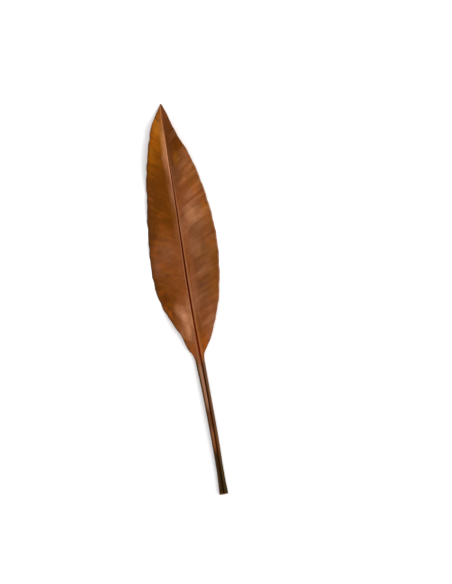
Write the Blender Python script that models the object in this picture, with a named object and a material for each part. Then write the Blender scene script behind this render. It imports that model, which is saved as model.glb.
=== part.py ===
"""A preserved tropical leaf: one lanceolate blade with its midrib and its stalk (petiole).

The leaf lies on its underside with the tip towards +Y and the upper face up, on the plane z = 0.
It grew as one piece, so it is one solid: a loft of sections across the leaf, from the round, grooved
stalk to the thin, waved blade. Lengths are in metres. Every list of pairs gives a value at some
distances from the cut end of the stalk, and a smooth curve runs through it.
"""

import math

import bmesh
import bpy
import numpy as np

# Driving dimensions
LEAF_LENGTH = 0.460
BLADE_START = 0.158
BLADE_THICKNESS = 0.0007

LEFT, RIGHT = -1, 1

# How finely the loft is cut
STALK_STATIONS = 24
BLADE_STATIONS = 132
SEGMENTS_PER_HALF = 8

# Half width of the blade on each side of the midrib, seen from above
MARGIN = {
    LEFT: (
        (0.158, 0.0066),
        (0.165, 0.0081),
        (0.173, 0.0125),
        (0.188, 0.0168),
        (0.204, 0.0241),
        (0.222, 0.0320),
        (0.240, 0.0369),
        (0.262, 0.0392),
        (0.285, 0.0391),
        (0.312, 0.0372),
        (0.338, 0.0346),
        (0.349, 0.0325),
        (0.364, 0.0313),
        (0.396, 0.0249),
        (0.420, 0.0189),
        (0.436, 0.0136),
        (0.448, 0.0073),
        (0.460, 0.0006),
    ),
    RIGHT: (
        (0.158, 0.0040),
        (0.165, 0.0050),
        (0.173, 0.0098),
        (0.183, 0.0163),
        (0.200, 0.0236),
        (0.220, 0.0312),
        (0.244, 0.0367),
        (0.270, 0.0402),
        (0.292, 0.0414),
        (0.316, 0.0403),
        (0.340, 0.0373),
        (0.364, 0.0332),
        (0.386, 0.0279),
        (0.402, 0.0227),
        (0.418, 0.0156),
        (0.432, 0.0104),
        (0.446, 0.0063),
        (0.460, 0.0006),
    ),
}

# How far the margin strays in and out of that line, as (length along the leaf, distance, phase)
STRAY = {
    LEFT: ((0.021, 0.00020, 1.1), (0.0127, 0.00018, 0.3)),
    RIGHT: ((0.025, 0.00020, 2.6), (0.0112, 0.00012, 1.9)),
}
# A zone is where something begins, where it is first and last in full, and where it ends
STRAY_ZONE = (0.160, 0.200, 0.420, 0.455)

# The stalk and the midrib are one round body that thins towards the tip. The stalk is a little wider
# on the left of its groove.
BODY_HALF_WIDTH = {
    LEFT: (
        (0.000, 0.0058),
        (0.012, 0.0052),
        (0.080, 0.0052),
        (0.125, 0.0059),
        (0.158, 0.0066),
        (0.200, 0.0046),
        (0.310, 0.0028),
        (0.460, 0.0005),
    ),
    RIGHT: (
        (0.000, 0.0048),
        (0.012, 0.0042),
        (0.080, 0.0040),
        (0.125, 0.0038),
        (0.158, 0.0040),
        (0.200, 0.0038),
        (0.310, 0.0026),
        (0.460, 0.0005),
    ),
}
BODY_DEPTH = (
    (0.000, 0.0050),
    (0.012, 0.0045),
    (0.080, 0.0042),
    (0.150, 0.0046),
    (0.200, 0.0039),
    (0.280, 0.0025),
    (0.370, 0.0013),
    (0.430, 0.0006),
    (0.460, 0.0001),
)
BODY_CROWN = (
    (0.000, 0.0032),
    (0.080, 0.0028),
    (0.150, 0.0024),
    (0.190, 0.0013),
    (0.260, 0.0007),
    (0.460, 0.0001),
)
ROUND_STALK, FLARED_RIB = 0.5, 0.9
# The most that the body takes of each half's width, and the groove of the body's
BODY_SHARE, GROOVE_SHARE = 0.8, 0.4
# The stalk's sides draw out to the blade's thin edges over the first length, before and after the
# blade's start, and the blade takes its own form over the second
FOOT_LENGTH, SHOULDER_LENGTH = 0.020, 0.040
GROOVE_HALF_WIDTH = ((0.0, 0.0008), (0.150, 0.0010), (0.300, 0.0007), (0.460, 0.0002))
GROOVE_DEPTH = ((0.0, 0.0014), (0.150, 0.0016), (0.300, 0.0009), (0.420, 0.0004), (0.460, 0.0001))
MIDRIB_SWAY = (
    (0.000, 0.0000),
    (0.065, 0.0001),
    (0.100, -0.0003),
    (0.130, -0.0008),
    (0.155, -0.0015),
    (0.215, -0.0026),
    (0.250, -0.0027),
    (0.290, -0.0021),
    (0.330, -0.0014),
    (0.415, -0.0012),
    (0.445, -0.0008),
    (0.460, 0.0000),
)
# The end was cut a little aslant
CUT_SLOPE = 0.22

# Height of the keel's lowest line above the surface. Where it is below zero the leaf bears on the
# surface and is pressed flat: at the cut end, and near the foot of the blade, under the weight.
KEEL_HEIGHT = (
    (0.000, -0.0006),
    (0.012, -0.0006),
    (0.050, 0.0008),
    (0.120, 0.0010),
    (0.160, -0.0004),
    (0.182, -0.0008),
    (0.204, -0.0004),
    (0.235, 0.0020),
    (0.280, 0.0062),
    (0.325, 0.0088),
    (0.370, 0.0088),
    (0.410, 0.0062),
    (0.440, 0.0026),
    (0.460, 0.0008),
)
PRESSED_EDGE = 0.0002

# Each half rises from the midrib at this slope, steep where the leaf folds at its foot and its tip
FOLD = {
    LEFT: (
        (0.150, 0.45),
        (0.190, 0.28),
        (0.215, 0.18),
        (0.250, 0.06),
        (0.340, 0.05),
        (0.400, 0.08),
        (0.435, 0.14),
        (0.460, 0.20),
    ),
    RIGHT: (
        (0.150, 0.45),
        (0.190, 0.26),
        (0.250, 0.07),
        (0.340, 0.07),
        (0.400, 0.30),
        (0.435, 0.62),
        (0.460, 0.70),
    ),
}
# The channel along the midrib, and how far the margins droop
CHANNEL_RISE = {
    LEFT: (
        (0.150, 0.0004),
        (0.190, 0.0017),
        (0.250, 0.0011),
        (0.320, 0.0014),
        (0.370, 0.0024),
        (0.410, 0.0026),
        (0.440, 0.0014),
        (0.460, 0.0000),
    ),
    RIGHT: (
        (0.150, 0.0004),
        (0.190, 0.0015),
        (0.310, 0.0016),
        (0.410, 0.0010),
        (0.460, 0.0000),
    ),
}
CHANNEL_REACH = 0.0050
DROOP = {
    LEFT: (
        (0.150, 0.0000),
        (0.180, 0.0014),
        (0.250, 0.0098),
        (0.310, 0.0130),
        (0.370, 0.0080),
        (0.425, 0.0006),
        (0.460, 0.0000),
    ),
    RIGHT: (
        (0.150, 0.0000),
        (0.180, 0.0014),
        (0.250, 0.0092),
        (0.305, 0.0136),
        (0.370, 0.0098),
        (0.425, 0.0010),
        (0.460, 0.0000),
    ),
}
DROOP_POWER = 1.9

# Slow waves of each half, as (length along the leaf, height at the margin, phase)
WAVES = {
    LEFT: ((0.118, 0.0012, 0.4), (0.047, 0.0013, 2.1), (0.027, 0.0004, 0.9)),
    RIGHT: ((0.099, 0.0012, 3.3), (0.042, 0.0012, 0.2), (0.024, 0.0004, 4.4)),
}
WAVE_POWER = 2.2
WAVE_ZONE = (0.150, 0.210, 0.415, 0.460)

# Ripples along the side veins, which leave the midrib aslant and run towards the tip. Their spacing
# and height vary along the leaf, and they rise between two shares of the way out to the margin.
RIPPLE_ZONE = (0.162, 0.220, 0.400, 0.450)
RIPPLES_BEGIN, RIPPLES_FULL = 0.12, 0.50
RIPPLE_SPACING = 0.0094
RIPPLE_HEIGHT = {LEFT: 0.00013, RIGHT: 0.00024}
RIPPLE_DRIFT = ((0.061, 0.0016, 0.6), (0.027, 0.0007, 2.9))
RIPPLE_SWELL = ((0.083, 0.30, 1.7), (0.037, 0.22, 4.1))
VEIN_SLOPE = ((0.150, 0.10), (0.300, 0.14), (0.400, 0.50), (0.460, 0.80))
VEIN_BEND = 0.0075
VEIN_BEND_REACH = 0.012

LEAF_COLOUR = (0.30, 0.105, 0.026, 1.0)
LEAF_ROUGHNESS = 0.45


def curve(points, position):
    """The value at a position on a smooth curve through (position, value) pairs."""
    at, value = np.array(points, float).T
    slope = np.gradient(value, at)
    i = np.clip(np.searchsorted(at, position) - 1, 0, len(at) - 2)
    span = at[i + 1] - at[i]
    u = np.clip((position - at[i]) / span, 0.0, 1.0)
    return (
        (2 * u**3 - 3 * u**2 + 1) * value[i]
        + (u**3 - 2 * u**2 + u) * span * slope[i]
        + (3 * u**2 - 2 * u**3) * value[i + 1]
        + (u**3 - u**2) * span * slope[i + 1]
    )


def smooth_step(start, end, position):
    """0 before start, 1 after end, and a smooth rise between them."""
    u = np.clip((position - start) / (end - start), 0.0, 1.0)
    return u * u * (3 - 2 * u)


def within(zone, distance):
    """1 in the middle of a zone, 0 outside it, and smooth ends."""
    begins, full, fades, ends = zone
    return smooth_step(begins, full, distance) * (1 - smooth_step(fades, ends, distance))


def station_distances():
    """Distances of the sections from the cut end, as a column: closer together in the blade."""
    stalk = np.linspace(0.0, BLADE_START, STALK_STATIONS)
    blade = np.linspace(BLADE_START, LEAF_LENGTH, BLADE_STATIONS)
    return np.concatenate([stalk, blade[1:]])[:, None]


def sum_of_waves(waves, distance):
    """The sum of sine waves given as (length, height, phase)."""
    along = 2 * math.pi * (distance - BLADE_START)
    return sum(height * np.sin(along / length + phase) for length, height, phase in waves)


def half_width(side, distance):
    """Half width of the stalk, and further on of the blade."""
    stray = within(STRAY_ZONE, distance) * sum_of_waves(STRAY[side], distance)
    margin = curve(MARGIN[side], distance) + stray
    return np.where(distance > BLADE_START, margin, curve(BODY_HALF_WIDTH[side], distance))


def reaches(side, distance):
    """Where the points of each section lie, as distances from the midrib: on the groove's edge, round
    the body and out to the margin."""
    edge = half_width(side, distance)
    body = np.minimum(curve(BODY_HALF_WIDTH[side], distance), BODY_SHARE * edge)
    groove = np.minimum(curve(GROOVE_HALF_WIDTH, distance), GROOVE_SHARE * body)
    middle = np.zeros_like(distance)
    steps = np.arange(1, SEGMENTS_PER_HALF) / (SEGMENTS_PER_HALF - 1)
    outer_steps = np.arange(1, SEGMENTS_PER_HALF - 2) / (SEGMENTS_PER_HALF - 3)
    stalk_groove = curve(GROOVE_HALF_WIDTH, distance)
    round_stalk = stalk_groove + (edge - stalk_groove) * np.sin(math.pi / 2 * steps)
    flat_blade = np.hstack([0.5 * (groove + body), body, body + (edge - body) * outer_steps])
    mix = smooth_step(BLADE_START - FOOT_LENGTH, BLADE_START + FOOT_LENGTH, distance)
    first = (1 - mix) * stalk_groove + mix * groove
    return np.hstack([middle, first, (1 - mix) * round_stalk + mix * flat_blade])


def half_leaf(side, distance):
    """One half of the leaf: how far its points reach sideways, the thickness above and below the
    middle of the blade there, and the height of that middle above the midrib."""
    reach = reaches(side, distance)
    outward = reach / half_width(side, distance)
    in_blade = smooth_step(BLADE_START, BLADE_START + SHOULDER_LENGTH, distance)

    body = curve(BODY_HALF_WIDTH[side], distance)
    flare = smooth_step(BLADE_START - FOOT_LENGTH, BLADE_START + FOOT_LENGTH / 2, distance)
    roundness = ROUND_STALK + (FLARED_RIB - ROUND_STALK) * flare
    bulge = (1 - np.clip(reach / body, 0.0, 1.0) ** 2) ** roundness
    below = BLADE_THICKNESS / 2 + curve(BODY_DEPTH, distance) * bulge
    above = BLADE_THICKNESS / 2 + curve(BODY_CROWN, distance) * bulge
    groove = np.clip(1 - reach / curve(GROOVE_HALF_WIDTH, distance), 0.0, 1.0)
    above = above - curve(GROOVE_DEPTH, distance) * groove

    beside_body = np.sqrt(reach**2 + body**2) - body
    channel = curve(CHANNEL_RISE[side], distance) * (1 - np.exp(-beside_body / CHANNEL_REACH))
    droop = curve(DROOP[side], distance) * outward**DROOP_POWER
    rise = curve(FOLD[side], distance) * beside_body + channel - droop
    rise = rise + waves(side, distance, outward) + ripples(side, distance, reach, outward)
    return side * reach, above, below, in_blade * rise


def waves(side, distance, outward):
    """Slow waves that grow from nothing at the midrib to their full height at the margin."""
    return sum_of_waves(WAVES[side], distance) * within(WAVE_ZONE, distance) * outward**WAVE_POWER


def ripples(side, distance, reach, outward):
    """Low ripples that follow the side veins and fade out towards the midrib and both ends."""
    bend = VEIN_BEND * (1 - np.exp(-reach / VEIN_BEND_REACH))
    foot = distance - curve(VEIN_SLOPE, distance) * reach - bend
    height = RIPPLE_HEIGHT[side] * (1 + sum_of_waves(RIPPLE_SWELL, foot)) * within(RIPPLE_ZONE, distance)
    height = height * smooth_step(RIPPLES_BEGIN, RIPPLES_FULL, outward)
    drifted = foot + sum_of_waves(RIPPLE_DRIFT, foot) + side * RIPPLE_SPACING / 4
    return height * np.sin(2 * math.pi * drifted / RIPPLE_SPACING)


def leaf_faces():
    """The points of the upper and the lower face, as two grids of sections by points across."""
    distance = station_distances()
    left, right = half_leaf(LEFT, distance), half_leaf(RIGHT, distance)
    across, above, below, rise = (np.hstack([a[:, :0:-1], b]) for a, b in zip(left, right))

    keel = curve(KEEL_HEIGHT, distance) + below[:, SEGMENTS_PER_HALF : SEGMENTS_PER_HALF + 1]
    middle = np.stack([across, distance + 0 * across, keel + rise], axis=-1)
    slope = np.gradient(middle[..., 2], axis=1) / np.gradient(across, axis=1)
    up = np.stack([-slope, 0 * slope, 1 + 0 * slope], axis=-1) / np.sqrt(1 + slope**2)[..., None]
    top = middle + above[..., None] * up
    bottom = middle - below[..., None] * up

    lift = pressed(bottom[..., 2]) - bottom[..., 2]
    for face in (top, bottom):
        face[..., 2] += lift
        face[..., 0] += curve(MIDRIB_SWAY, distance)
        face[0, :, 1] += CUT_SLOPE * face[0, :, 2]
    return top, bottom


def pressed(height):
    """Heights with all that lies below the surface raised onto it, and a soft edge round that spot."""
    soft = (height + PRESSED_EDGE) ** 2 / (4 * PRESSED_EDGE)
    return np.where(height > PRESSED_EDGE, height, np.where(height < -PRESSED_EDGE, 0.0, soft))


def centred(top, bottom):
    """Moves the leaf so that the origin is on the surface, below the middle of its outline."""
    points = np.concatenate([top.reshape(-1, 3), bottom.reshape(-1, 3)])
    low, high = points.min(axis=0), points.max(axis=0)
    middle = np.array([(low[0] + high[0]) / 2, (low[1] + high[1]) / 2, low[2]])
    return top - middle, bottom - middle


def loft(top, bottom):
    """One closed mesh from the two grids. Both faces are cut into the same triangles, so that they
    stay apart where the blade is waved."""
    mesh = bmesh.new()
    upper = [[mesh.verts.new(point) for point in row] for row in top]
    lower = [[mesh.verts.new(point) for point in row] for row in bottom]
    stations, points = len(upper), len(upper[0])
    for i in range(stations - 1):
        for j in range(points - 1):
            for grid in (upper, lower):
                patch(mesh, grid[i][j], grid[i][j + 1], grid[i + 1][j + 1], grid[i + 1][j])
        for j in (0, points - 1):
            patch(mesh, upper[i][j], upper[i + 1][j], lower[i + 1][j], lower[i][j])
    for i in (0, stations - 1):
        for j in range(points - 1):
            patch(mesh, upper[i][j], upper[i][j + 1], lower[i][j + 1], lower[i][j])
    bmesh.ops.recalc_face_normals(mesh, faces=mesh.faces)
    return mesh


def patch(mesh, a, b, c, d):
    """A four-sided patch as two triangles."""
    mesh.faces.new((a, b, c))
    mesh.faces.new((a, c, d))


def leaf_material():
    """Satin brown of a leaf preserved with glycerine and dye."""
    material = bpy.data.materials.new("preserved_leaf")
    material.use_nodes = True
    shader = material.node_tree.nodes["Principled BSDF"]
    shader.inputs["Base Color"].default_value = LEAF_COLOUR
    shader.inputs["Roughness"].default_value = LEAF_ROUGHNESS
    shader.inputs["Metallic"].default_value = 0.0
    return material


def main():
    for old in list(bpy.data.objects):
        bpy.data.objects.remove(old)
    collection = bpy.data.collections.new("preserved_tropical_leaf")
    bpy.context.scene.collection.children.link(collection)

    top, bottom = leaf_faces()
    lofted = loft(*centred(top, bottom))
    mesh = bpy.data.meshes.new("leaf")
    lofted.to_mesh(mesh)
    lofted.free()
    mesh.materials.append(leaf_material())
    mesh.shade_smooth()
    mesh.set_sharp_from_angle(angle=math.radians(40))
    collection.objects.link(bpy.data.objects.new("leaf", mesh))


main()
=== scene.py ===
"""Looks of a preserved tropical leaf: the fine surface of its blade, midrib and stalk, and its colours.

The leaf's outline, body, folds and waves come from the same named values as the solid model's. This
script cuts them finer and thins the blade to near its real thickness. It has ripples and side veins of
its own, which the solid is too coarse for. Lengths are in metres. Every list of pairs gives a value at
some distances from the cut end of the stalk, and a smooth curve runs through it.
"""

import math

import bpy
import numpy as np
from mathutils import Matrix, Vector


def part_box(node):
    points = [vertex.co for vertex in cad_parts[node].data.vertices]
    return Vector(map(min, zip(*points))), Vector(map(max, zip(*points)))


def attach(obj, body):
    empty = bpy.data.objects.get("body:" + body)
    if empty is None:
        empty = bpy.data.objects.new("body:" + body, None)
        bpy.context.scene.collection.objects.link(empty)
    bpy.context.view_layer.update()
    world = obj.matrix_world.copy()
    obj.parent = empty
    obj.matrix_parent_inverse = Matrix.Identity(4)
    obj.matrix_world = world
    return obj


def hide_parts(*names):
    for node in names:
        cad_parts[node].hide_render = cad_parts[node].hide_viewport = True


LEAF_LENGTH = 0.460
BLADE_START = 0.158
SOLID_THICKNESS = 0.0007
LEFT, RIGHT = -1, 1

# The fine mesh: its sections along the stalk and the blade, its points on each half in the groove, on
# the rest of the body and on the blade, and its rows down the cut end
STALK_STATIONS = 70
BLADE_STATIONS = 510
GROOVE_POINTS = 3
BODY_POINTS = 8
BLADE_POINTS = 22
CUT_ROWS = 8
SHARP_ANGLE = math.radians(50)

# Half width of the blade on each side of the midrib, seen from above
MARGIN = {
    LEFT: (
        (0.158, 0.0066),
        (0.165, 0.0081),
        (0.173, 0.0125),
        (0.188, 0.0168),
        (0.204, 0.0241),
        (0.222, 0.0320),
        (0.240, 0.0369),
        (0.262, 0.0392),
        (0.285, 0.0391),
        (0.312, 0.0372),
        (0.338, 0.0346),
        (0.349, 0.0325),
        (0.364, 0.0313),
        (0.396, 0.0249),
        (0.420, 0.0189),
        (0.436, 0.0136),
        (0.448, 0.0073),
        (0.460, 0.0006),
    ),
    RIGHT: (
        (0.158, 0.0040),
        (0.165, 0.0050),
        (0.173, 0.0098),
        (0.183, 0.0163),
        (0.200, 0.0236),
        (0.220, 0.0312),
        (0.244, 0.0367),
        (0.270, 0.0402),
        (0.292, 0.0414),
        (0.316, 0.0403),
        (0.340, 0.0373),
        (0.364, 0.0332),
        (0.386, 0.0279),
        (0.402, 0.0227),
        (0.418, 0.0156),
        (0.432, 0.0104),
        (0.446, 0.0063),
        (0.460, 0.0006),
    ),
}

# How far the margin strays in and out of that line, as (length along the leaf, distance, phase)
STRAY = {
    LEFT: ((0.021, 0.00020, 1.1), (0.0127, 0.00018, 0.3)),
    RIGHT: ((0.025, 0.00020, 2.6), (0.0112, 0.00012, 1.9)),
}
# A zone is where something begins, where it is first and last in full, and where it ends
STRAY_ZONE = (0.160, 0.200, 0.420, 0.455)

# The stalk and the midrib are one round body that thins towards the tip. The stalk is a little wider
# on the left of its groove.
BODY_HALF_WIDTH = {
    LEFT: (
        (0.000, 0.0058),
        (0.012, 0.0052),
        (0.080, 0.0052),
        (0.125, 0.0059),
        (0.158, 0.0066),
        (0.200, 0.0046),
        (0.310, 0.0028),
        (0.460, 0.0005),
    ),
    RIGHT: (
        (0.000, 0.0048),
        (0.012, 0.0042),
        (0.080, 0.0040),
        (0.125, 0.0038),
        (0.158, 0.0040),
        (0.200, 0.0038),
        (0.310, 0.0026),
        (0.460, 0.0005),
    ),
}
BODY_DEPTH = (
    (0.000, 0.0050),
    (0.012, 0.0045),
    (0.080, 0.0042),
    (0.150, 0.0046),
    (0.200, 0.0039),
    (0.280, 0.0025),
    (0.370, 0.0013),
    (0.430, 0.0006),
    (0.460, 0.0001),
)
BODY_CROWN = (
    (0.000, 0.0032),
    (0.080, 0.0028),
    (0.150, 0.0024),
    (0.190, 0.0013),
    (0.260, 0.0007),
    (0.460, 0.0001),
)
ROUND_STALK, FLARED_RIB = 0.5, 0.9
# The most that the body takes of each half's width, and the groove of the body's
BODY_SHARE, GROOVE_SHARE = 0.8, 0.4
# The stalk's sides draw out to the blade's thin edges over the first length, before and after the
# blade's start, and the blade takes its own form over the second
FOOT_LENGTH, SHOULDER_LENGTH = 0.020, 0.040
GROOVE_HALF_WIDTH = ((0.0, 0.0008), (0.150, 0.0010), (0.300, 0.0007), (0.460, 0.0002))
GROOVE_DEPTH = ((0.0, 0.0014), (0.150, 0.0016), (0.300, 0.0009), (0.420, 0.0004), (0.460, 0.0001))
MIDRIB_SWAY = (
    (0.000, 0.0000),
    (0.065, 0.0001),
    (0.100, -0.0003),
    (0.130, -0.0008),
    (0.155, -0.0015),
    (0.215, -0.0026),
    (0.250, -0.0027),
    (0.290, -0.0021),
    (0.330, -0.0014),
    (0.415, -0.0012),
    (0.445, -0.0008),
    (0.460, 0.0000),
)
# The end was cut a little aslant
CUT_SLOPE = 0.22

# Height of the keel's lowest line above the surface. Where it is below zero the leaf bears on the
# surface and is pressed flat: at the cut end, and near the foot of the blade, under the weight.
KEEL_HEIGHT = (
    (0.000, -0.0006),
    (0.012, -0.0006),
    (0.050, 0.0008),
    (0.120, 0.0010),
    (0.160, -0.0004),
    (0.182, -0.0008),
    (0.204, -0.0004),
    (0.235, 0.0020),
    (0.280, 0.0062),
    (0.325, 0.0088),
    (0.370, 0.0088),
    (0.410, 0.0062),
    (0.440, 0.0026),
    (0.460, 0.0008),
)
PRESSED_EDGE = 0.0002

# Each half rises from the midrib at this slope, steep where the leaf folds at its foot and its tip
FOLD = {
    LEFT: (
        (0.150, 0.45),
        (0.190, 0.28),
        (0.215, 0.18),
        (0.250, 0.06),
        (0.340, 0.05),
        (0.400, 0.08),
        (0.435, 0.14),
        (0.460, 0.20),
    ),
    RIGHT: (
        (0.150, 0.45),
        (0.190, 0.26),
        (0.250, 0.07),
        (0.340, 0.07),
        (0.400, 0.30),
        (0.435, 0.62),
        (0.460, 0.70),
    ),
}
# The channel along the midrib, and how far the margins droop
CHANNEL_RISE = {
    LEFT: (
        (0.150, 0.0004),
        (0.190, 0.0017),
        (0.250, 0.0011),
        (0.320, 0.0014),
        (0.370, 0.0024),
        (0.410, 0.0026),
        (0.440, 0.0014),
        (0.460, 0.0000),
    ),
    RIGHT: (
        (0.150, 0.0004),
        (0.190, 0.0015),
        (0.310, 0.0016),
        (0.410, 0.0010),
        (0.460, 0.0000),
    ),
}
CHANNEL_REACH = 0.0050
DROOP = {
    LEFT: (
        (0.150, 0.0000),
        (0.180, 0.0014),
        (0.250, 0.0098),
        (0.310, 0.0130),
        (0.370, 0.0080),
        (0.425, 0.0006),
        (0.460, 0.0000),
    ),
    RIGHT: (
        (0.150, 0.0000),
        (0.180, 0.0014),
        (0.250, 0.0092),
        (0.305, 0.0136),
        (0.370, 0.0098),
        (0.425, 0.0010),
        (0.460, 0.0000),
    ),
}
DROOP_POWER = 1.9

# Slow waves of each half, as (length along the leaf, height at the margin, phase)
WAVES = {
    LEFT: ((0.118, 0.0012, 0.4), (0.047, 0.0013, 2.1), (0.027, 0.0004, 0.9)),
    RIGHT: ((0.099, 0.0012, 3.3), (0.042, 0.0012, 0.2), (0.024, 0.0004, 4.4)),
}
WAVE_POWER = 2.2
WAVE_ZONE = (0.150, 0.210, 0.415, 0.460)

# Ripples along the side veins, which leave the midrib aslant and run towards the tip. Their spacing
# and height vary along the leaf, and they rise between two shares of the way out to the margin.
RIPPLE_ZONE = (0.162, 0.220, 0.400, 0.450)
RIPPLES_BEGIN, RIPPLES_FULL = 0.12, 0.50
RIPPLE_SPACING = 0.0094
RIPPLE_HEIGHT = {LEFT: 0.00015, RIGHT: 0.00021}
RIPPLE_DRIFT = ((0.061, 0.0016, 0.6), (0.027, 0.0007, 2.9))
RIPPLE_SWELL = ((0.083, 0.40, 1.7), (0.037, 0.32, 4.1))
VEIN_SLOPE = ((0.150, 0.35), (0.300, 0.42), (0.360, 0.55), (0.420, 0.80), (0.460, 0.90))
VEIN_BEND = 0.0045
VEIN_BEND_REACH = 0.010

# Finer ripples lie among them. Both sets come and go in patches: each has a mean share of its height
# and a change from patch to patch, and the fine set's patches are smaller and shifted.
FINE_RIPPLE_SPACING = 0.0056
FINE_RIPPLE_SHARE = 0.38
PATCH_REACH, PATCH_LENGTH = 0.026, 0.041
BROAD_MEAN, BROAD_CHANGE = 0.60, 0.40
FINE_MEAN, FINE_CHANGE = 0.55, 0.45
FINE_PATCH_RATE, FINE_PATCH_PHASE = 1.3, 1.1

# The blade is near its real thickness, and from this share of the way out to the margin it thins to
# its edge's
BLADE_THICKNESS = 0.00045
EDGE_THICKNESS = 0.00022
EDGE_BEGINS = 0.93

# The side veins' own ridges: their zones along the leaf and outward, and how much they drift with the
# ripples
VEIN_ZONE = (0.160, 0.190, 0.430, 0.456)
VEIN_SPAN = (0.04, 0.20, 0.94, 1.00)
VEIN_SPACING = 0.0047
VEIN_HEIGHT = 0.00003
VEIN_DRIFT_SHARE = 0.4
# The colours' patterns along the side veins are this far on in the right half, so that it doesn't
# mirror the left
PATTERN_SHIFT = {LEFT: 0.0, RIGHT: 0.07}

# The cut end is hollowed by this much at the pith, and by up to a share less at random
CUT_HOLLOW = 0.0005
CUT_ROUGHNESS = 0.45
CUT_SEED = 4

# The camera looks straight down, from far off, with the lens that gives the photograph's scale. The
# leaf's chord runs from its cut end to its tip, and its middle is a little beside the origin.
FRAME_WIDTH, FRAME_HEIGHT = 452, 584
METRES_PER_PIXEL = 0.0011626
CAMERA_HEIGHT = 2.4
CAMERA_ROLL = math.radians(9.28)
SENSOR = 36.0
CHORD_CENTRE_PIXEL = (193.05, 299.15)
CHORD_ASIDE = 0.0017

# The studio's lights and floor
KEY_PLACE, KEY_AIM = (1.15, -0.45, 1.25), (0.0, 0.05, 0.0)
KEY_SIZE = (1.1, 1.5)
KEY_POWER = 16.0
KEY_TINT = (1.0, 0.985, 0.96)
SKY_STRENGTH = 1.1
FLOOR_REACH, FLOOR_LEVEL = 6.0, -0.0003
FLOOR_TINT, FLOOR_ROUGHNESS = (0.94, 0.94, 0.94, 1.0), 0.9


def curve(points, position):
    """The value at a position on a smooth curve through (position, value) pairs."""
    at, value = np.array(points, float).T
    slope = np.gradient(value, at)
    i = np.clip(np.searchsorted(at, position) - 1, 0, len(at) - 2)
    span = at[i + 1] - at[i]
    u = np.clip((position - at[i]) / span, 0.0, 1.0)
    return (
        (2 * u**3 - 3 * u**2 + 1) * value[i]
        + (u**3 - 2 * u**2 + u) * span * slope[i]
        + (3 * u**2 - 2 * u**3) * value[i + 1]
        + (u**3 - u**2) * span * slope[i + 1]
    )


def smooth_step(start, end, position):
    """0 before start, 1 after end, and a smooth rise between them."""
    u = np.clip((position - start) / (end - start), 0.0, 1.0)
    return u * u * (3 - 2 * u)


def within(zone, position):
    """1 in the middle of a zone, 0 outside it, and smooth ends."""
    begins, full, fades, ends = zone
    return smooth_step(begins, full, position) * (1 - smooth_step(fades, ends, position))


def sum_of_waves(waves, distance):
    """The sum of sine waves given as (length, height, phase)."""
    along = 2 * math.pi * (distance - BLADE_START)
    return sum(height * np.sin(along / length + phase) for length, height, phase in waves)


def station_distances():
    """Distances of the sections from the cut end, as a column."""
    stalk = np.linspace(0.0, BLADE_START, STALK_STATIONS)
    blade = np.linspace(BLADE_START, LEAF_LENGTH, BLADE_STATIONS)
    return np.concatenate([stalk, blade[1:]])[:, None]


def half_width(side, distance):
    """Half width of the stalk, and further on of the blade."""
    stray = within(STRAY_ZONE, distance) * sum_of_waves(STRAY[side], distance)
    margin = curve(MARGIN[side], distance) + stray
    return np.where(distance > BLADE_START, margin, curve(BODY_HALF_WIDTH[side], distance))


def reaches(side, distance):
    """Where the points of each section lie, as distances from the midrib."""
    edge = half_width(side, distance)
    body = np.minimum(curve(BODY_HALF_WIDTH[side], distance), BODY_SHARE * edge)
    groove = np.minimum(curve(GROOVE_HALF_WIDTH, distance), GROOVE_SHARE * body)
    in_groove = groove * np.arange(GROOVE_POINTS + 1) / GROOVE_POINTS

    steps = np.arange(1, BODY_POINTS + BLADE_POINTS + 1) / (BODY_POINTS + BLADE_POINTS)
    round_stalk = groove + (edge - groove) * np.sin(math.pi / 2 * steps)
    body_steps = np.arange(1, BODY_POINTS + 1) / BODY_POINTS
    blade_steps = np.arange(1, BLADE_POINTS + 1) / BLADE_POINTS
    flat_blade = np.hstack([groove + (body - groove) * body_steps, body + (edge - body) * blade_steps])
    mix = smooth_step(BLADE_START - FOOT_LENGTH, BLADE_START + FOOT_LENGTH, distance)
    return np.hstack([in_groove, (1 - mix) * round_stalk + mix * flat_blade])


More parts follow.
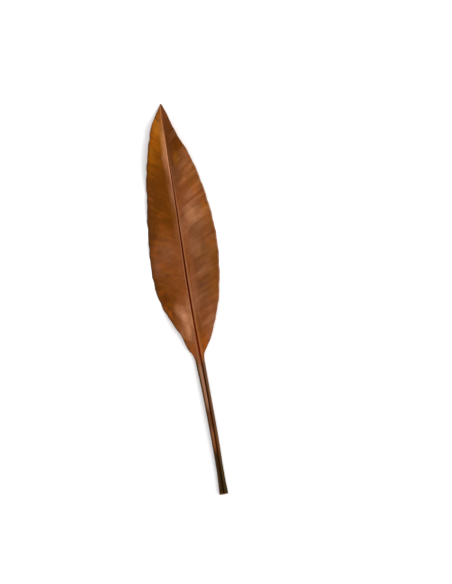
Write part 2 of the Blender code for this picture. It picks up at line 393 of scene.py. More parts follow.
def half_leaf(side, distance):
    """One half of the leaf, as grids: the thickness above and below the middle of the blade, that
    middle's height above the midrib, and each point's place, across the leaf, as a share of the way
    out to the margin, at the foot of its side vein and along the leaf."""
    reach = reaches(side, distance)
    outward = reach / half_width(side, distance)
    in_blade = smooth_step(BLADE_START, BLADE_START + SHOULDER_LENGTH, distance)

    body = curve(BODY_HALF_WIDTH[side], distance)
    flare = smooth_step(BLADE_START - FOOT_LENGTH, BLADE_START + FOOT_LENGTH / 2, distance)
    roundness = ROUND_STALK + (FLARED_RIB - ROUND_STALK) * flare
    bulge = (1 - np.clip(reach / body, 0.0, 1.0) ** 2) ** roundness
    edge = smooth_step(EDGE_BEGINS, 1.0, outward)
    sheet = BLADE_THICKNESS + (EDGE_THICKNESS - BLADE_THICKNESS) * edge
    sheet = sheet + (SOLID_THICKNESS - sheet) * bulge
    below = sheet / 2 + curve(BODY_DEPTH, distance) * bulge
    above = sheet / 2 + curve(BODY_CROWN, distance) * bulge
    groove = np.clip(1 - reach / curve(GROOVE_HALF_WIDTH, distance), 0.0, 1.0)
    above = above - curve(GROOVE_DEPTH, distance) * smooth_step(0.0, 1.0, groove)

    beside_body = np.sqrt(reach**2 + body**2) - body
    channel = curve(CHANNEL_RISE[side], distance) * (1 - np.exp(-beside_body / CHANNEL_REACH))
    droop = curve(DROOP[side], distance) * outward**DROOP_POWER
    rise = curve(FOLD[side], distance) * beside_body + channel - droop
    rise = rise + waves(side, distance, outward) + ripples(side, distance, reach, outward)
    foot = vein_foot(distance, reach)
    rise = rise + veins(distance, foot, outward)
    return {
        "above": above,
        "below": below,
        "rise": in_blade * rise,
        "across": side * reach,
        "outward": side * outward,
        "foot": foot + PATTERN_SHIFT[side],
        "along": distance + 0 * reach,
    }


def waves(side, distance, outward):
    """Slow waves that grow from nothing at the midrib to their full height at the margin."""
    return sum_of_waves(WAVES[side], distance) * within(WAVE_ZONE, distance) * outward**WAVE_POWER


def vein_foot(distance, reach):
    """Where the side vein through a point leaves the midrib."""
    bend = VEIN_BEND * (1 - np.exp(-reach / VEIN_BEND_REACH))
    return distance - curve(VEIN_SLOPE, distance) * reach - bend


def ripples(side, distance, reach, outward):
    """Low ripples that follow the side veins and fade out towards the midrib and both ends."""
    foot = vein_foot(distance, reach)
    height = RIPPLE_HEIGHT[side] * (1 + sum_of_waves(RIPPLE_SWELL, foot)) * within(RIPPLE_ZONE, distance)
    height = height * smooth_step(RIPPLES_BEGIN, RIPPLES_FULL, outward)
    drifted = 2 * math.pi * (foot + sum_of_waves(RIPPLE_DRIFT, foot) + side * RIPPLE_SPACING / 4)
    patch = 2 * math.pi * (reach / PATCH_REACH + foot / PATCH_LENGTH)
    fine_patch = FINE_PATCH_RATE * patch + FINE_PATCH_PHASE
    broad = (BROAD_MEAN + BROAD_CHANGE * np.sin(patch)) * np.sin(drifted / RIPPLE_SPACING)
    fine = (FINE_MEAN - FINE_CHANGE * np.sin(fine_patch)) * np.sin(drifted / FINE_RIPPLE_SPACING)
    return height * (broad + FINE_RIPPLE_SHARE * fine)


def veins(distance, foot, outward):
    """The side veins' own fine ridges."""
    fade = within(VEIN_ZONE, distance) * within(VEIN_SPAN, outward)
    drifted = foot + VEIN_DRIFT_SHARE * sum_of_waves(RIPPLE_DRIFT, foot)
    return VEIN_HEIGHT * fade * np.sin(2 * math.pi * drifted / VEIN_SPACING)


def pressed(height):
    """Heights with all that lies below the surface raised onto it, and a soft edge round that spot."""
    soft = (height + PRESSED_EDGE) ** 2 / (4 * PRESSED_EDGE)
    return np.where(height > PRESSED_EDGE, height, np.where(height < -PRESSED_EDGE, 0.0, soft))


def leaf_grids():
    """The upper and the lower face's points, and the grids of both halves' values side by side."""
    distance = station_distances()
    left, right = half_leaf(LEFT, distance), half_leaf(RIGHT, distance)
    whole = {name: np.hstack([left[name][:, :0:-1], right[name]]) for name in left}
    across, rise = whole["across"], whole["rise"]
    keel = curve(KEEL_HEIGHT, distance) + curve(BODY_DEPTH, distance) + SOLID_THICKNESS / 2
    middle = np.stack([across, whole["along"], keel + rise], axis=-1)
    slope = np.gradient(middle[..., 2], axis=1) / np.gradient(across, axis=1)
    up = np.stack([-slope, 0 * slope, 1 + 0 * slope], axis=-1) / np.sqrt(1 + slope**2)[..., None]
    top = middle + whole["above"][..., None] * up
    bottom = middle - whole["below"][..., None] * up

    lift = pressed(bottom[..., 2]) - bottom[..., 2]
    for face in (top, bottom):
        face[..., 2] += lift
        face[..., 0] += curve(MIDRIB_SWAY, distance)
        face[0, :, 1] += CUT_SLOPE * face[0, :, 2]
    return top, bottom, whole


def grid_triangles(index, flip):
    """Triangles over a grid of point numbers, the same way round for every grid."""
    a, b, c, d = index[:-1, :-1], index[:-1, 1:], index[1:, 1:], index[1:, :-1]
    first, second = np.stack([a, b, c], -1), np.stack([a, c, d], -1)
    faces = np.concatenate([first.reshape(-1, 3), second.reshape(-1, 3)])
    return faces[:, ::-1] if flip else faces


def leaf_mesh(corner):
    """The fine leaf as one closed mesh, moved so that its low corner is where the solid's is."""
    top, bottom, values = leaf_grids()
    stations, points = top.shape[:2]

    # The cut end is a grid between the two faces' first sections, hollowed a little at the pith
    share = np.linspace(0.0, 1.0, CUT_ROWS + 1)[1:-1, None, None]
    cut = (1 - share) * top[None, 0] + share * bottom[None, 0]
    depth = 4 * share[..., 0] * (1 - share[..., 0]) * (1 - values["outward"][0][None] ** 2)
    random = np.random.default_rng(CUT_SEED).random(depth.shape)
    cut[..., 1] += CUT_HOLLOW * depth * (1 - CUT_ROUGHNESS + CUT_ROUGHNESS * random)

    grids = [top, bottom, cut]
    starts = np.cumsum([0] + [grid.shape[0] * points for grid in grids])
    upper = starts[0] + np.arange(stations * points).reshape(stations, points)
    lower = starts[1] + np.arange(stations * points).reshape(stations, points)
    inner = starts[2] + np.arange((CUT_ROWS - 1) * points).reshape(CUT_ROWS - 1, points)
    cap = np.concatenate([lower[:1], inner[::-1], upper[:1]])
    rims = [np.stack([lower[:, 0], upper[:, 0]], 1), np.stack([lower[:, -1], upper[:, -1]], 1)]
    tip = np.stack([upper[-1], lower[-1]])
    faces = np.concatenate(
        [
            grid_triangles(upper, False),
            grid_triangles(lower, True),
            grid_triangles(cap, False),
            grid_triangles(rims[0], False),
            grid_triangles(rims[1], True),
            grid_triangles(tip, False),
        ]
    )
    coordinates = np.concatenate([grid.reshape(-1, 3) for grid in grids])
    coordinates += np.array(corner) - coordinates.min(axis=0)

    mesh = bpy.data.meshes.new("leaf_surface")
    mesh.from_pydata(coordinates.tolist(), [], faces.tolist())

    # What the colours read: each point's place, its face (1 above, -1 below) and the sawn end (1)
    for name in ("along", "across", "outward", "foot"):
        flat = values[name].reshape(-1)
        first = np.tile(values[name][0], CUT_ROWS - 1)
        add_values(mesh, name, np.concatenate([flat, flat, first]))
    one_face = np.ones(stations * points)
    cut_rows = np.linspace(1, -1, CUT_ROWS + 1)[1:-1].repeat(points)
    add_values(mesh, "face", np.concatenate([one_face, -one_face, cut_rows]))
    add_values(mesh, "sawn", np.concatenate([0 * one_face, 0 * one_face, 1 + 0 * cut_rows]))
    mesh.shade_smooth()
    mesh.set_sharp_from_angle(angle=SHARP_ANGLE)
    return mesh


def add_values(mesh, name, values):
    """One number for every point, which the material reads by name."""
    attribute = mesh.attributes.new(name, "FLOAT", "POINT")
    attribute.data.foreach_set("value", values.astype(np.float32))


# The colour sockets of Blender's mix node
MIX_A, MIX_B, MIX_RESULT = 6, 7, 2


class Graph:
    """Short ways to add and wire a material's nodes. All but feed return an output socket."""

    def __init__(self, material):
        self.tree = material.node_tree
        self.shader = self.tree.nodes["Principled BSDF"]

    def feed(self, socket, value):
        if isinstance(value, bpy.types.NodeSocket):
            self.tree.links.new(value, socket)
        else:
            socket.default_value = value

    def add(self, kind, inputs, output=0, **settings):
        node = self.tree.nodes.new(kind)
        for name, value in settings.items():
            setattr(node, name, value)
        for key, value in inputs.items():
            self.feed(node.inputs[key], value)
        return node.outputs[output]

    def attribute(self, name):
        node = self.tree.nodes.new("ShaderNodeAttribute")
        node.attribute_name = name
        return node.outputs["Fac"]

    def maths(self, operation, a, b=0.0):
        return self.add("ShaderNodeMath", {0: a, 1: b}, operation=operation)

    def plus(self, a, b):
        return self.maths("ADD", a, b)

    def minus(self, a, b):
        return self.maths("SUBTRACT", a, b)

    def times(self, a, b):
        return self.maths("MULTIPLY", a, b)

    def over(self, a, b):
        return self.maths("DIVIDE", a, b)

    def changed(self, start, change, mask):
        """The start where a mask is 0, with the change added to it where the mask is 1."""
        return self.plus(start, self.times(mask, change))

    def step(self, value, start, end):
        """0 at start and 1 at end, with a smooth change between them, whichever is larger."""
        low, high, first, last = (start, end, 0.0, 1.0) if start < end else (end, start, 1.0, 0.0)
        inputs = {"Value": value, "From Min": low, "From Max": high, "To Min": first, "To Max": last}
        return self.add("ShaderNodeMapRange", inputs, interpolation_type="SMOOTHSTEP")

    def bump_at(self, value, centre, width):
        """1 at the centre and 0 at a width's distance from it."""
        away = self.maths("ABSOLUTE", self.minus(value, centre))
        return self.step(away, width, 0.0)

    def vector(self, x, y, z=0.0):
        return self.add("ShaderNodeCombineXYZ", {0: x, 1: y, 2: z})

    def noise(self, vector, scale=1.0, detail=2.0, roughness=0.5):
        inputs = {"Vector": vector, "Scale": scale, "Detail": detail, "Roughness": roughness}
        return self.add("ShaderNodeTexNoise", inputs)

    def ramp(self, factor, stops):
        node = self.tree.nodes.new("ShaderNodeValToRGB")
        elements = node.color_ramp.elements
        while len(elements) > 1:
            elements.remove(elements[-1])
        for number, (place, tint) in enumerate(stops):
            element = elements[0] if number == 0 else elements.new(place)
            element.position = place
            element.color = tint
        self.feed(node.inputs["Fac"], factor)
        return node.outputs["Color"]

    def mix(self, factor, a, b, blend="MIX"):
        """Two colours mixed. The node has a socket A and B of every kind, so the colours go by number."""
        inputs = {"Factor": factor, MIX_A: a, MIX_B: b}
        return self.add("ShaderNodeMix", inputs, MIX_RESULT, data_type="RGBA", blend_type=blend)


def colour(red, green, blue):
    """A linear colour from the usual 0 to 255 values."""

    def linear(value):
        value = value / 255
        return value / 12.92 if value <= 0.04045 else ((value + 0.055) / 1.055) ** 2.4

    return (linear(red), linear(green), linear(blue), 1.0)


# The leaf's colours, by name
AMBER = colour(128, 66, 0)
HONEY = colour(150, 88, 20)
ORANGE = colour(134, 62, 14)
OLIVE = colour(76, 27, 0)
UMBER = colour(88, 39, 0)
CHESTNUT = colour(102, 50, 14)
RUSSET = colour(110, 56, 27)
DUSKY = colour(92, 48, 29)
ROSY = colour(120, 71, 47)
TAN = colour(160, 106, 74)
SAND = colour(156, 102, 54)
FAWN = colour(132, 92, 70)
# The pale tan of painted highlights
HIGHLIGHT_TAN = colour(180, 122, 92)
COCOA = colour(86, 46, 28)
# The dark point at the tip, and painted shade on the margins and on the stalk's left edge
DARK_TIP_AND_EDGE_SHADE = colour(52, 26, 10)
# The painted highlight on the right half's margin
EDGE_HIGHLIGHT = colour(150, 106, 82)
# The grooves' dark lines, partly their own dark red colour and partly painted shade in the grooves
DARK_GROOVE_AND_SHADE = colour(68, 8, 0)
RED_GROOVE_AND_SHADE = colour(96, 22, 0)
STALK_GROOVE_AND_SHADE = colour(58, 20, 3)
# Painted shade on the stalk's dim right flank
FLANK_SHADE_BROWN = colour(72, 46, 33)
# The stalk's dark lower end, partly painted shade, and the dark specks and fibres
DARK_BROWN = colour(24, 11, 2)

# How they follow each other from the blade's foot (0) to its tip (1): beside the midrib, mid-way out
# and at the margin. Part of the light and shade is painted into them: the lighter rosy, tan and sand
# stops beside the midrib on the left half are a painted highlight on the channel's slope, the right
# half's rosier, lighter tones are partly painted sheen, and the left half's darker tones and the olive
# at the right half's tip are partly painted shade.
RIB_RAMPS = {
    LEFT: (
        (0.12, ROSY),
        (0.18, TAN),
        (0.26, RUSSET),
        (0.52, RUSSET),
        (0.58, CHESTNUT),
        (0.66, ROSY),
        (0.72, RUSSET),
        (0.79, TAN),
        (0.87, SAND),
        (0.94, AMBER),
    ),
    RIGHT: (
        (0.00, ORANGE),
        (0.12, CHESTNUT),
        (0.22, ROSY),
        (0.40, RUSSET),
        (0.54, ROSY),
        (0.62, RUSSET),
        (0.74, DUSKY),
        (0.84, OLIVE),
        (1.00, CHESTNUT),
    ),
}
MIDDLE_RAMPS = {
    LEFT: (
        (0.00, RUSSET),
        (0.10, ROSY),
        (0.18, ROSY),
        (0.26, CHESTNUT),
        (0.40, RUSSET),
        (0.48, CHESTNUT),
        (0.56, UMBER),
        (0.76, UMBER),
        (0.87, AMBER),
        (0.96, HONEY),
    ),
    RIGHT: (
        (0.00, ORANGE),
        (0.12, RUSSET),
        (0.30, DUSKY),
        (0.46, DUSKY),
        (0.58, ROSY),
        (0.66, RUSSET),
        (0.75, CHESTNUT),
        (0.82, OLIVE),
    ),
}
MARGIN_RAMPS = {
    LEFT: (
        (0.12, RUSSET),
        (0.22, UMBER),
        (0.30, UMBER),
        (0.38, RUSSET),
        (0.50, UMBER),
        (0.70, UMBER),
        (0.82, AMBER),
        (0.90, AMBER),
        (0.96, HONEY),
    ),
    RIGHT: (
        (0.00, RUSSET),
        (0.12, ROSY),
        (0.26, CHESTNUT),
        (0.50, CHESTNUT),
        (0.60, RUSSET),
        (0.68, CHESTNUT),
        (0.76, RUSSET),
        (0.84, UMBER),
        (1.00, OLIVE),
    ),
}
# The stalk's, from its cut end (0) to the blade's foot (1), darkest towards the cut end, partly with
# painted shade
STALK_RAMP = (
    (0.30, DARK_BROWN),
    (0.37, RUSSET),
    (0.455, ROSY),
    (0.52, COCOA),
    (0.615, COCOA),
    (0.69, FAWN),
    (0.94, FAWN),
    (1.00, ROSY),
)
# Marks as (distance from the cut end, place across, length, breadth, colour, strength). Most are the
# leaf's own patches of colour; some are painted highlights and painted shade, as said above them.
MARKS = (
    # The next two are painted highlights: sheen on the right half
    (0.330, 0.0145, 0.014, 0.0085, TAN, 0.38),
    (0.288, 0.0150, 0.016, 0.009, TAN, 0.20),
    (0.217, 0.0098, 0.008, 0.003, UMBER, 0.40),
    (0.394, 0.0085, 0.015, 0.006, HONEY, 0.32),
    # A painted highlight beside the midrib on the left, near the tip
    (0.396, -0.0060, 0.008, 0.003, TAN, 0.30),
    (0.401, 0.0155, 0.018, 0.007, UMBER, 0.28),
    (0.421, 0.0085, 0.013, 0.005, OLIVE, 0.30),
    (0.408, -0.0190, 0.009, 0.005, HONEY, 0.45),
    (0.336, 0.032, 0.012, 0.005, AMBER, 0.45),
    (0.262, 0.0350, 0.016, 0.006, UMBER, 0.30),
    (0.358, 0.025, 0.012, 0.005, ORANGE, 0.40),
    (0.417, -0.012, 0.009, 0.004, ORANGE, 0.50),
    (0.429, -0.009, 0.008, 0.004, HONEY, 0.50),
    # The next four are painted highlights: sheen on the left half near the blade's foot
    (0.219, -0.0155, 0.010, 0.007, TAN, 0.40),
    (0.198, -0.0076, 0.016, 0.0045, TAN, 0.65),
    (0.211, -0.0100, 0.013, 0.0065, HIGHLIGHT_TAN, 0.62),
    (0.190, -0.0165, 0.008, 0.003, FAWN, 0.50),
    # The next two are painted shade beside the midrib on the right
    (0.267, 0.0044, 0.012, 0.0016, UMBER, 0.50),
    (0.206, 0.0050, 0.010, 0.0020, UMBER, 0.45),
    (0.370, 0.0205, 0.014, 0.007, CHESTNUT, 0.55),
    (0.227, 0.0260, 0.009, 0.005, UMBER, 0.40),
    (0.4585, 0.0000, 0.0045, 0.004, DARK_TIP_AND_EDGE_SHADE, 0.80),
    (0.224, -0.0305, 0.007, 0.004, ORANGE, 0.80),
    (0.216, -0.0260, 0.008, 0.004, ORANGE, 0.80),
    (0.172, -0.006, 0.009, 0.004, ORANGE, 0.70),
    (0.178, 0.008, 0.009, 0.005, ORANGE, 0.70),
    (0.234, -0.029, 0.014, 0.007, OLIVE, 0.70),
    (0.289, -0.018, 0.014, 0.012, ROSY, 0.45),
    (0.273, -0.032, 0.014, 0.006, ROSY, 0.40),
)
# How far out a mark ends, and how far out it is in full, as shares of its length and breadth
MARK_FADES, MARK_FULL = 1.1, 0.2

# Where the colours change: each pair is where a thing isn't seen yet and where it is in full
RIGHT_HALF = (-0.0012, 0.0012)  # across the midrib
BLADE_FOOT = (BLADE_START - 0.006, BLADE_START + 0.010)  # along the leaf
RIB_SIDES = (0.010, 0.0015)  # as distances from the midrib
UPPER_FACE = (-0.35, 0.35)  # from the lower face (-1) to the upper one (1)

# The patterns' scales per metre. Those that follow the side veins have one along the midrib and one
# outward, and the lengthwise streaks have one across the leaf and one along it. The blotches are a
# little longer than they are wide, and come from another layer of the noise than the mottling.
MOTTLE_SCALE, FINE_MOTTLE_SCALE = 30.0, 210.0
BLOTCH_SCALE, BLOTCH_STRETCH, BLOTCH_LAYER = 80.0, 0.8, 0.3
BAND_SCALES, STREAK_SCALES, HAIR_SCALES = (125.0, 28.0), (200.0, 30.0), (950.0, 45.0)
LENGTHWISE_SCALES = (1500.0, 14.0)
SPECK_SCALE, SPECK_ZONE_SCALE = 330.0, 38.0
FIBRE_SCALE = 1300.0
# The upper and the lower face read layers of the mottling this far to either side of the middle one
FACE_SHIFT = 0.02
# How much the mottling moves the borders between colours, and how much of that goes to the ramps, as a
# share of the blade's length, and to the colours beside the midrib, in metres
WANDER, RAMP_WANDER, RIB_WANDER = 0.8, 0.12, 0.004
# How far out the colours beside the midrib reach on the left, and how much further on the right. On the
# left half they hold a painted highlight.
RIB_REACH, RIGHT_RIB_EXTRA = 0.0072, 0.0070

# Half widths of the groove's dark line at the blade's foot and at its tip, a line that is partly painted
# shade, and the place and width of the painted highlight beside it
GROOVE_AT_FOOT, GROOVE_AT_TIP = 0.0015, 0.00025
BRINK_PLACE, BRINK_WIDTH = 0.0007, 0.0010

# Depths of the patterns' shading of the blade, the stalk and the underside
BLADE_HAIR_SHADE, BLADE_STREAK_SHADE, BLADE_MOTTLE_SHADE = 0.56, 0.40, 0.60
STALK_SHADE = 0.55
UNDER_HAIR_SHADE, UNDER_BAND_SHADE = 0.30, 0.35

# The sheen: the upper face's least roughness and what the patterns add, the underside's, and the
# shader's specular reflection
UPPER_ROUGHNESS, MOTTLE_ROUGHNESS, STREAK_ROUGHNESS = 0.34, 0.14, 0.08
UNDER_ROUGHNESS = 0.66
SPECULAR_LEVEL = 0.24
SPECULAR_TINT = (1.0, 0.60, 0.14, 1.0)

# The relief: the shares of the side veins' hair lines, of the fine mottling and of lengthwise lines
HAIR_RELIEF, MOTTLE_RELIEF, LENGTHWISE_RELIEF = 0.10, 0.05, 0.10
RELIEF_STRENGTH, RELIEF_DISTANCE = 0.8, 0.001


class LeafGraph(Graph):
    """A graph with the places on the leaf and the patterns that its colours share."""

    def __init__(self, material):
        super().__init__(material)
        self.along, self.across = self.attribute("along"), self.attribute("across")
        self.foot, face = self.attribute("foot"), self.attribute("face")
        self.reach = self.maths("ABSOLUTE", self.across)
        self.out = self.maths("ABSOLUTE", self.attribute("outward"))
        self.share = self.over(self.minus(self.along, BLADE_START), LEAF_LENGTH - BLADE_START)
        self.is_right = self.step(self.across, *RIGHT_HALF)
        self.is_left = self.minus(1.0, self.is_right)
        self.is_blade = self.step(self.along, *BLADE_FOOT)
        self.near_rib = self.step(self.reach, *RIB_SIDES)
        self.is_top = self.step(face, *UPPER_FACE)

        self.place = self.vector(self.across, self.along, self.times(face, FACE_SHIFT))
        self.mottle = self.noise(self.place, MOTTLE_SCALE, 3.0, 0.55)
        self.fine_mottle = self.noise(self.place, FINE_MOTTLE_SCALE, 3.0, 0.6)
        stretched = self.vector(self.across, self.times(self.along, BLOTCH_STRETCH), BLOTCH_LAYER)
        self.blotch = self.noise(stretched, BLOTCH_SCALE)
        self.vein_band = self.vein_noise(BAND_SCALES, 1.0)
        self.vein_streak = self.vein_noise(STREAK_SCALES, 2.0)
        self.vein_hair = self.vein_noise(HAIR_SCALES, 2.0)
        across_scale, along_scale = LENGTHWISE_SCALES
        drawn_out = self.vector(self.times(self.across, across_scale), self.times(self.along, along_scale))
        self.long_streak = self.noise(drawn_out, 1.0, 3.0, 0.55)
        self.wander = self.times(self.minus(self.mottle, 0.5), WANDER)

    def vein_noise(self, scales, detail):
        """Noise drawn out along the side veins, with a layer of its own for each half."""
        along_rib, outward = scales
        place = self.vector(self.times(self.foot, along_rib), self.times(self.reach, outward), self.is_right)
        return self.noise(place, 1.0, detail)

    def halves(self, ramps):
        """The left half's ramp and the right half's, along the blade."""
        place = self.plus(self.share, self.times(self.wander, RAMP_WANDER))
        return self.mix(self.is_right, self.ramp(place, ramps[LEFT]), self.ramp(place, ramps[RIGHT]))

    def layered(self, below, layers, mask=None):
        """A colour with others over it, kept to a mask. Each layer is (pattern, the pattern's value
        where the colour begins to show, its value where that shows in full, the colour, its strength).
        """
        for pattern, begins, full, tint, strength in layers:
            share = self.step(pattern, begins, full)
            if mask is not None:
                share = self.times(share, mask)
            below = self.mix(self.times(share, strength), below, tint)
        return below

    def shaded(self, tint, pattern, depth):
        """A colour made lighter and darker by a pattern, by the same share either way."""
        shade = self.plus(1 - depth / 2, self.times(pattern, depth))
        return self.mix(1.0, tint, self.vector(shade, shade, shade), "MULTIPLY")


def leaf_material():
    """The leaf's colours, sheen and fine relief, laid out by the distances kept on its points."""
    material = bpy.data.materials.new("preserved_leaf")
    material.use_nodes = True
    g = LeafGraph(material)
    stalk = stalk_colour(g)
    upper = g.mix(g.is_blade, stalk, blade_colour(g))
    upper = add_specks(g, add_margins(g, add_groove(g, upper)))
    under = g.mix(g.is_blade, stalk, underside_colour(g))
    base = g.mix(g.is_top, under, upper)
    g.feed(g.shader.inputs["Base Color"], add_cut_end(g, base))
    add_sheen(g)
    add_relief(g)
    return material


def blade_colour(g):
    """The blade's upper face: its ramps, mottling, bands along the side veins, marks and streaks, with
    painted highlights and painted shade in the ramps and some of the marks.
    """
    rib_reach = g.plus(g.changed(RIB_REACH, RIGHT_RIB_EXTRA, g.is_right), g.times(g.wander, RIB_WANDER))
    # The ramps hold painted light: a highlight beside the midrib, sheen on the right half, shade on the left
    ramps = [
        (g.plus(g.out, g.wander), 0.50, 0.92, g.halves(MARGIN_RAMPS), 1.0),
        (g.over(g.reach, rib_reach), 1.0, 0.42, g.halves(RIB_RAMPS), 1.0),
    ]
    blade = g.layered(g.halves(MIDDLE_RAMPS), ramps)
    blotched = g.changed(0.16, 0.32, g.step(g.out, 0.30, 0.75))
    blotched = g.times(blotched, g.changed(1.0, -0.5, g.is_right))
    mottling = [
        (g.mottle, 0.54, 0.72, UMBER, 0.38),
        (g.mottle, 0.46, 0.30, RUSSET, 0.30),
        (g.blotch, 0.54, 0.68, ORANGE, blotched),
        (g.blotch, 0.46, 0.32, OLIVE, blotched),
    ]
    blade = g.layered(blade, mottling)
    bands = [
        (g.vein_band, 0.52, 0.72, g.mix(g.is_right, AMBER, TAN), 0.26),
        (g.vein_band, 0.48, 0.28, UMBER, 0.58),
    ]
    blade = g.layered(blade, bands, g.step(g.out, 0.12, 0.50))
    for mark in MARKS:
        blade = add_mark(g, blade, mark)
    streaks = [(g.long_streak, 0.46, 0.64, ROSY, 0.30), (g.long_streak, 0.50, 0.34, UMBER, 0.35)]
    blade = g.layered(blade, streaks, g.near_rib)
    blade = g.shaded(g.shaded(blade, g.vein_hair, BLADE_HAIR_SHADE), g.vein_streak, BLADE_STREAK_SHADE)
    return g.shaded(blade, g.fine_mottle, BLADE_MOTTLE_SHADE)


def add_mark(g, below, mark):
    """One soft-edged mark over the colours below it."""
    at_along, at_across, length, breadth, tint, strength = mark
    u = g.over(g.minus(g.along, at_along), length)
    v = g.over(g.minus(g.across, at_across), breadth)
    away = g.plus(g.maths("SQRT", g.plus(g.times(u, u), g.times(v, v))), g.wander)
    return g.layered(below, [(away, MARK_FADES, MARK_FULL, tint, strength)])


def stalk_colour(g):
    """The stalk, with painted shade: a dark left edge, a dark groove that is partly its own colour, and a
    dim right flank, all darker towards its lower end, partly with painted shade.
    """
    stalk = g.ramp(g.over(g.along, BLADE_START), STALK_RAMP)
    # Towards the cut end the stalk is darker, partly with painted shade
    lower = g.step(g.along, 0.060, 0.020)
    # Painted shade on the stalk's dim right flank
    stalk = g.layered(stalk, [(g.across, 0.0014, 0.0022, g.mix(lower, FLANK_SHADE_BROWN, DARK_BROWN), 0.85)])
    # Painted shade on the stalk's left edge
    stalk = g.layered(stalk, [(g.out, 0.50, 0.78, DARK_TIP_AND_EDGE_SHADE, 0.9)], g.is_left)
    # The groove's dark line, partly its own colour and partly painted shade
    groove = g.mix(lower, STALK_GROOVE_AND_SHADE, DARK_BROWN)
    right_side = g.times(g.step(g.across, 0.0026, 0.0016), g.is_top)
    stalk = g.layered(stalk, [(g.across, -0.0012, -0.0006, groove, 0.95)], right_side)
    return g.shaded(stalk, g.long_streak, STALK_SHADE)


def add_groove(g, upper):
    """The blade's groove, a dark line that is partly its own red colour and partly painted shade, and
    painted highlights on its brinks.
    """
    widths = {"Value": g.share, "To Min": GROOVE_AT_FOOT, "To Max": GROOVE_AT_TIP}
    groove_width = g.add("ShaderNodeMapRange", widths)
    before_tip = g.step(g.share, 0.82, 0.56)

    # Painted highlights on the groove's brinks, strongest on the left
    brink = g.bump_at(g.minus(g.reach, groove_width), BRINK_PLACE, BRINK_WIDTH)
    on_left = g.times(g.is_left, g.changed(0.40, 0.45, g.step(g.share, 0.56, 0.74)))
    on_right = g.times(g.times(g.is_right, before_tip), 0.28)
    brink = g.times(g.times(brink, g.is_blade), g.plus(on_left, on_right))
    # Where the brinks' painted highlight is brightest, towards the tip
    brightest_highlight = g.times(g.step(g.share, 0.66, 0.72), g.step(g.share, 0.93, 0.86))
    upper = g.mix(brink, upper, g.mix(brightest_highlight, TAN, HIGHLIGHT_TAN))

    # The groove's dark red line, partly its own colour and partly painted shade
    tint = g.mix(g.step(g.share, 0.34, 0.12), DARK_GROOVE_AND_SHADE, RED_GROOVE_AND_SHADE)
    groove = (g.over(g.reach, groove_width), 1.30, 0.80, tint, g.changed(0.30, 0.65, before_tip))
    return g.layered(upper, [groove], g.is_blade)


def add_margins(g, upper):
    """The margins: darker with painted shade, and a thin line at the very edge that is painted shade on the
    left half and a painted highlight on the right.
    """
    # Painted shade inside the margins, deeper on the left
    darker = (g.out, 0.82, 0.96, DARK_TIP_AND_EDGE_SHADE, g.changed(0.17, 0.18, g.is_left))
    # The edge line: painted shade on the left, a painted highlight on the right
    line = (g.out, 0.95, 0.985, g.mix(g.is_right, DARK_TIP_AND_EDGE_SHADE, EDGE_HIGHLIGHT), 0.6)
    return g.layered(upper, [darker, line], g.is_blade)


def add_specks(g, upper):
    """Dark specks, in some places only."""
    cells = g.add("ShaderNodeTexVoronoi", {"Vector": g.place, "Scale": SPECK_SCALE})
    speckled = g.step(g.noise(g.place, SPECK_ZONE_SCALE, 1.0), 0.56, 0.66)
    return g.layered(upper, [(cells, 0.20, 0.08, DARK_BROWN, 0.6)], speckled)


def underside_colour(g):
    """The blade's underside: paler, with a darker keel under the midrib."""
    under = g.layered(ROSY, [(g.reach, 0.0045, 0.0025, RUSSET, 1.0), (g.mottle, 0.62, 0.36, TAN, 0.4)])
    return g.shaded(g.shaded(under, g.vein_hair, UNDER_HAIR_SHADE), g.vein_band, UNDER_BAND_SHADE)


def add_cut_end(g, base):
    """Pale pith with darker fibres."""
    position = g.add("ShaderNodeTexCoord", {}, "Object")
    fibres = g.add("ShaderNodeTexVoronoi", {"Vector": position, "Scale": FIBRE_SCALE})
    pith = g.layered(TAN, [(fibres, 0.42, 0.22, DARK_BROWN, 1.0)])
    return g.layered(base, [(g.attribute("sawn"), 0.2, 0.8, pith, 1.0)])


def add_sheen(g):
    """A warm, uneven satin above and matt below."""
    upper = g.changed(UPPER_ROUGHNESS, MOTTLE_ROUGHNESS, g.fine_mottle)
    upper = g.plus(upper, g.times(g.minus(g.vein_streak, 0.5), STREAK_ROUGHNESS))
    roughness = g.add("ShaderNodeMapRange", {"Value": g.is_top, "To Min": UNDER_ROUGHNESS, "To Max": upper})
    g.feed(g.shader.inputs["Roughness"], roughness)
    g.shader.inputs["Specular IOR Level"].default_value = SPECULAR_LEVEL
    g.shader.inputs["Specular Tint"].default_value = SPECULAR_TINT


def add_relief(g):
    """Fine lines along the side veins and, on the midrib and the stalk, lengthwise."""
    on_body = g.plus(g.times(g.near_rib, 0.5), g.minus(1.0, g.is_blade))
    on_veins = g.times(g.vein_hair, g.times(g.is_blade, HAIR_RELIEF))
    relief = g.plus(on_veins, g.times(g.fine_mottle, MOTTLE_RELIEF))
    relief = g.plus(relief, g.times(g.times(g.long_streak, on_body), LENGTHWISE_RELIEF))
    inputs = {"Strength": RELIEF_STRENGTH, "Distance": RELIEF_DISTANCE, "Height": relief}
    g.feed(g.shader.inputs["Normal"], g.add("ShaderNodeBump", inputs))


def plain_material(name, base, roughness):
    """A plain, even surface for the floor."""
    material = bpy.data.materials.new(name)
    material.use_nodes = True
    shader = material.node_tree.nodes["Principled BSDF"]
    shader.inputs["Base Color"].default_value = base
    shader.inputs["Roughness"].default_value = roughness
    return material


def add_object(name, data):
    """A new object in the scene."""
    made = bpy.data.objects.new(name, data)
    bpy.context.scene.collection.objects.link(made)
    return made


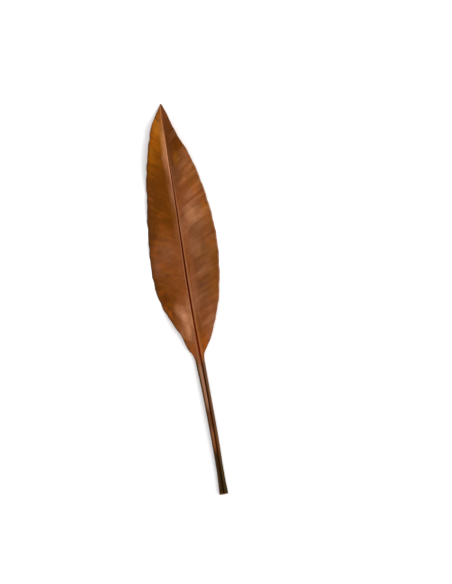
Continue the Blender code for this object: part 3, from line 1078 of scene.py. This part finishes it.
def add_camera():
    """Straight above, turned so that the leaf leans as it does in the photograph."""
    data = bpy.data.cameras.new("camera")
    data.lens = SENSOR * CAMERA_HEIGHT / (FRAME_HEIGHT * METRES_PER_PIXEL)
    data.sensor_width = SENSOR
    camera = add_object("camera", data)
    right = Vector((math.cos(CAMERA_ROLL), -math.sin(CAMERA_ROLL), 0.0))
    up = Vector((math.sin(CAMERA_ROLL), math.cos(CAMERA_ROLL), 0.0))
    aside = (FRAME_WIDTH / 2 - CHORD_CENTRE_PIXEL[0]) * METRES_PER_PIXEL
    above = (CHORD_CENTRE_PIXEL[1] - FRAME_HEIGHT / 2) * METRES_PER_PIXEL
    place = Vector((CHORD_ASIDE, 0.0, CAMERA_HEIGHT)) + right * aside + up * above
    camera.matrix_world = Matrix.Translation(place) @ Matrix.Rotation(-CAMERA_ROLL, 4, "Z")
    bpy.context.scene.camera = camera


def add_floor():
    """A pale floor, just below the leaf."""
    mesh = bpy.data.meshes.new("floor")
    low, high = -FLOOR_REACH, FLOOR_REACH
    corners = [(x, y, FLOOR_LEVEL) for x, y in ((low, low), (high, low), (high, high), (low, high))]
    mesh.from_pydata(corners, [], [(0, 1, 2, 3)])
    mesh.materials.append(plain_material("floor", FLOOR_TINT, FLOOR_ROUGHNESS))
    add_object("floor", mesh)


def add_lights():
    """A broad soft light from the right and above, and light from all round."""
    data = bpy.data.lights.new("key", "AREA")
    data.shape = "RECTANGLE"
    data.size, data.size_y = KEY_SIZE
    data.energy = KEY_POWER
    data.color = KEY_TINT
    light = add_object("key", data)
    light.location = KEY_PLACE
    light.rotation_euler = (Vector(KEY_AIM) - Vector(KEY_PLACE)).to_track_quat("-Z", "Y").to_euler()

    world = bpy.data.worlds.new("studio")
    world.use_nodes = True
    background = world.node_tree.nodes["Background"]
    background.inputs["Color"].default_value = (1.0, 1.0, 1.0, 1.0)
    background.inputs["Strength"].default_value = SKY_STRENGTH
    bpy.context.scene.world = world


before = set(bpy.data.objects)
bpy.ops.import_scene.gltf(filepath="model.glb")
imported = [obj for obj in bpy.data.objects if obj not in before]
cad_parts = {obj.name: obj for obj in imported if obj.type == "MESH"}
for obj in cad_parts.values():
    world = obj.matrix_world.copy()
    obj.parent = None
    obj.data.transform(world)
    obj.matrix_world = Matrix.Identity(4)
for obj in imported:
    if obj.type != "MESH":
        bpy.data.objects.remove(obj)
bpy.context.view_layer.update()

leaf = add_object("leaf_surface", leaf_mesh(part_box("leaf")[0]))
leaf.data.materials.append(leaf_material())
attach(leaf, "root")
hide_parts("leaf")

add_floor()
add_lights()
add_camera()
bpy.context.scene.view_settings.view_transform = "Standard"
